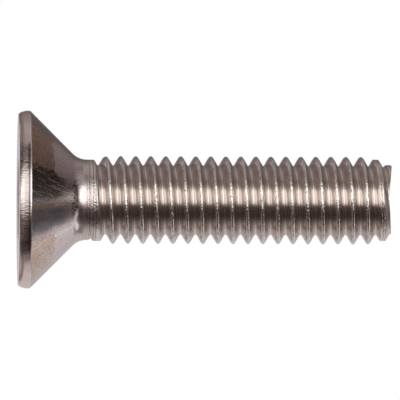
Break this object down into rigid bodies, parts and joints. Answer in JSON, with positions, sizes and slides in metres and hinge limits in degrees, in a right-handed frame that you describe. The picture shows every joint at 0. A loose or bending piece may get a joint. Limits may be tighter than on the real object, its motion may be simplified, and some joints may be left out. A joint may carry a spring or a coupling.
{
  "type": "countersunk socket screw",
  "caption": "Flat-head screw with a 90 degree countersunk head, a six-sided socket in its face and a fully threaded shank with a chamfered end.",
  "frame": {"origin": "centre of the head's flat face, where the screw stands on its head", "axes": "+Z along the screw's axis, from the head's flat face to the tip; +X and -X run through two corners of the six-sided socket"},
  "size_m": [0.0118, 0.0118, 0.0248],
  "materials": {
    "steel": "bare stainless steel: cold-formed and turned head with fine streaks, rolled thread, slight brown heat tint"
  },
  "bodies": {
    "root": {"screw": "steel"}
  },
  "joints": []
}
